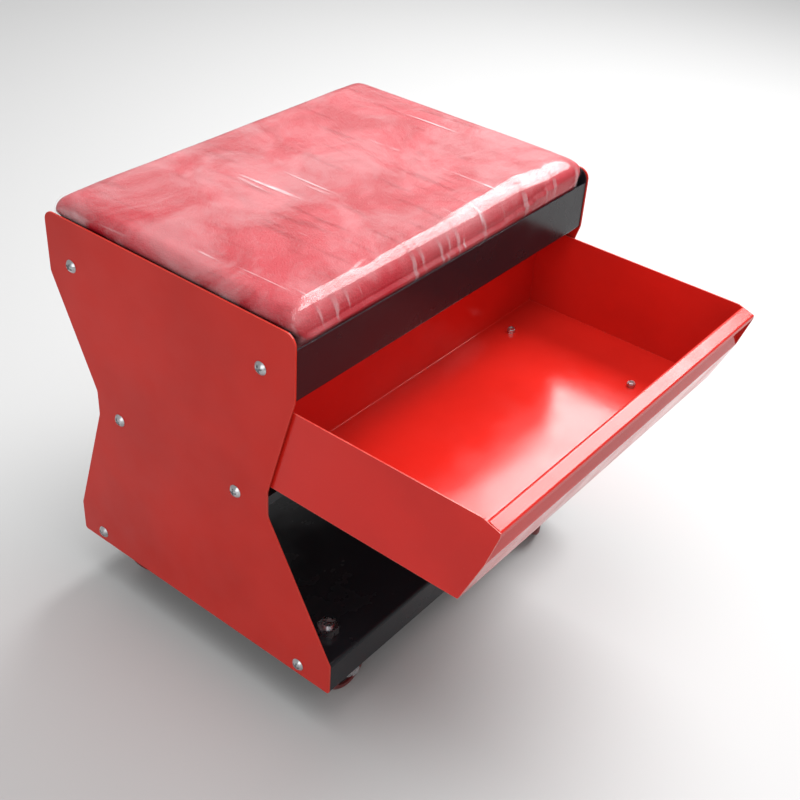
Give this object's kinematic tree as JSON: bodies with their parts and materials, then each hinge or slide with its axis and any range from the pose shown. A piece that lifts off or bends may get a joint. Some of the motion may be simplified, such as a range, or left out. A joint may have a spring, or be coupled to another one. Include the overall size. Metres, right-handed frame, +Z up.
{
  "type": "rolling work seat with drawer",
  "caption": "Low rolling work seat with padded top, cut-out steel sides, pull-out drawer, lower shelf and swivel casters.",
  "frame": {"origin": "middle of the floor area under the seat with its drawer open, on the floor", "axes": "+X to the right of someone facing the drawer's front from behind the seat, +Y towards the seat's rear, +Z up; the drawer opens towards -Y"},
  "size_m": [0.4066, 0.468, 0.408],
  "materials": {
    "red_panel_paint": "satin orange-peel powder coat",
    "red_drawer_paint": "gloss orange-peel powder coat",
    "black_paint": "semi-gloss powder coat",
    "zinc_steel": "bright zinc plate",
    "slide_steel": "zinc-plated rolled steel",
    "caster_zinc": "bright zinc pressed steel",
    "hub_plastic": "moulded",
    "red_tread": "polyurethane tread",
    "plywood": "raw plywood",
    "foam": "open-cell foam",
    "red_vinyl": "grained vinyl",
    "clear_film": "thin clear shrink film"
  },
  "bodies": {
    "chassis": {"side_panel_left": "red_panel_paint", "side_panel_right": "red_panel_paint", "seat_pan": "black_paint", "seat_board": "plywood", "seat_foam": "foam", "seat_cover": "red_vinyl", "seat_film": "clear_film", "seat_screws": "zinc_steel", "mid_shelf": "black_paint", "bottom_shelf": "black_paint", "panel_screws_left": "zinc_steel", "panel_screws_right": "zinc_steel", "panel_nuts_left": "zinc_steel", "panel_nuts_right": "zinc_steel", "slide_outer_left": "slide_steel", "slide_outer_right": "slide_steel", "slide_rivets": "zinc_steel", "caster_nuts": "zinc_steel", "caster_balls": "zinc_steel", "caster_stem_fl": "zinc_steel", "caster_stem_fr": "zinc_steel", "caster_stem_rl": "zinc_steel", "caster_stem_rr": "zinc_steel"},
    "drawer": {"drawer_tray": "red_drawer_paint", "drawer_side_left": "red_drawer_paint", "drawer_side_right": "red_drawer_paint", "drawer_bolts": "zinc_steel", "drawer_nuts": "zinc_steel", "slide_inner_left": "slide_steel", "slide_inner_right": "slide_steel"},
    "middle_left": {"slide_middle_left": "slide_steel"},
    "outer_cage_left": {"slide_outer_cage_left": "slide_steel"},
    "inner_cage_left": {"slide_inner_cage_left": "slide_steel"},
    "middle_right": {"slide_middle_right": "slide_steel"},
    "outer_cage_right": {"slide_outer_cage_right": "slide_steel"},
    "inner_cage_right": {"slide_inner_cage_right": "slide_steel"},
    "swivel_fl": {"caster_fork_fl": "caster_zinc", "caster_axle_fl": "zinc_steel"},
    "wheel_fl": {"caster_hub_fl": "hub_plastic", "caster_tyre_fl": "red_tread"},
    "swivel_fr": {"caster_fork_fr": "caster_zinc", "caster_axle_fr": "zinc_steel"},
    "wheel_fr": {"caster_hub_fr": "hub_plastic", "caster_tyre_fr": "red_tread"},
    "swivel_rl": {"caster_fork_rl": "caster_zinc", "caster_axle_rl": "zinc_steel"},
    "wheel_rl": {"caster_hub_rl": "hub_plastic", "caster_tyre_rl": "red_tread"},
    "swivel_rr": {"caster_fork_rr": "caster_zinc", "caster_axle_rr": "zinc_steel"},
    "wheel_rr": {"caster_hub_rr": "hub_plastic", "caster_tyre_rr": "red_tread"}
  },
  "joints": [
    {"name": "drawer_slide", "type": "slide", "parent": "chassis", "child": "drawer", "axis": [0, 1, 0], "range_m": [-0.006, 0.184]},
    {"name": "middle_left_travel", "type": "slide", "parent": "chassis", "child": "middle_left", "axis": [0, 1, 0], "range_m": [-0.003, 0.092]},
    {"name": "outer_cage_left_travel", "type": "slide", "parent": "chassis", "child": "outer_cage_left", "axis": [0, 1, 0], "range_m": [-0.0015, 0.046]},
    {"name": "inner_cage_left_travel", "type": "slide", "parent": "chassis", "child": "inner_cage_left", "axis": [0, 1, 0], "range_m": [-0.0045, 0.138]},
    {"name": "middle_right_travel", "type": "slide", "parent": "chassis", "child": "middle_right", "axis": [0, 1, 0], "range_m": [-0.003, 0.092]},
    {"name": "outer_cage_right_travel", "type": "slide", "parent": "chassis", "child": "outer_cage_right", "axis": [0, 1, 0], "range_m": [-0.0015, 0.046]},
    {"name": "inner_cage_right_travel", "type": "slide", "parent": "chassis", "child": "inner_cage_right", "axis": [0, 1, 0], "range_m": [-0.0045, 0.138]},
    {"name": "caster_fl_swivel", "type": "hinge", "parent": "chassis", "child": "swivel_fl", "pos_m": [-0.1685, -0.061, 0.0808], "axis": [0, 0, 1], "continuous": true},
    {"name": "caster_fl_roll", "type": "hinge", "parent": "swivel_fl", "child": "wheel_fl", "pos_m": [-0.1465, -0.061, 0.025], "axis": [0, 1, 0], "continuous": true},
    {"name": "caster_fr_swivel", "type": "hinge", "parent": "chassis", "child": "swivel_fr", "pos_m": [0.1685, -0.061, 0.0808], "axis": [0, 0, 1], "continuous": true},
    {"name": "caster_fr_roll", "type": "hinge", "parent": "swivel_fr", "child": "wheel_fr", "pos_m": [0.14984, -0.07266, 0.025], "axis": [0.5299, -0.848, 0], "continuous": true},
    {"name": "caster_rl_swivel", "type": "hinge", "parent": "chassis", "child": "swivel_rl", "pos_m": [-0.1685, 0.197, 0.0808], "axis": [0, 0, 1], "continuous": true},
    {"name": "caster_rl_roll", "type": "hinge", "parent": "swivel_rl", "child": "wheel_rl", "pos_m": [-0.1599, 0.17675, 0.025], "axis": [0.9205, 0.3907, 0], "continuous": true},
    {"name": "caster_rr_swivel", "type": "hinge", "parent": "chassis", "child": "swivel_rr", "pos_m": [0.1685, 0.197, 0.0808], "axis": [0, 0, 1], "continuous": true},
    {"name": "caster_rr_roll", "type": "hinge", "parent": "swivel_rr", "child": "wheel_rr", "pos_m": [0.17602, 0.17633, 0.025], "axis": [0.9397, 0.342, 0], "continuous": true}
  ],
  "couplings": [
    {"joint": "middle_left_travel", "follows": "drawer_slide", "ratio": 0.5},
    {"joint": "outer_cage_left_travel", "follows": "drawer_slide", "ratio": 0.25},
    {"joint": "inner_cage_left_travel", "follows": "drawer_slide", "ratio": 0.75},
    {"joint": "middle_right_travel", "follows": "drawer_slide", "ratio": 0.5},
    {"joint": "outer_cage_right_travel", "follows": "drawer_slide", "ratio": 0.25},
    {"joint": "inner_cage_right_travel", "follows": "drawer_slide", "ratio": 0.75}
  ]
}
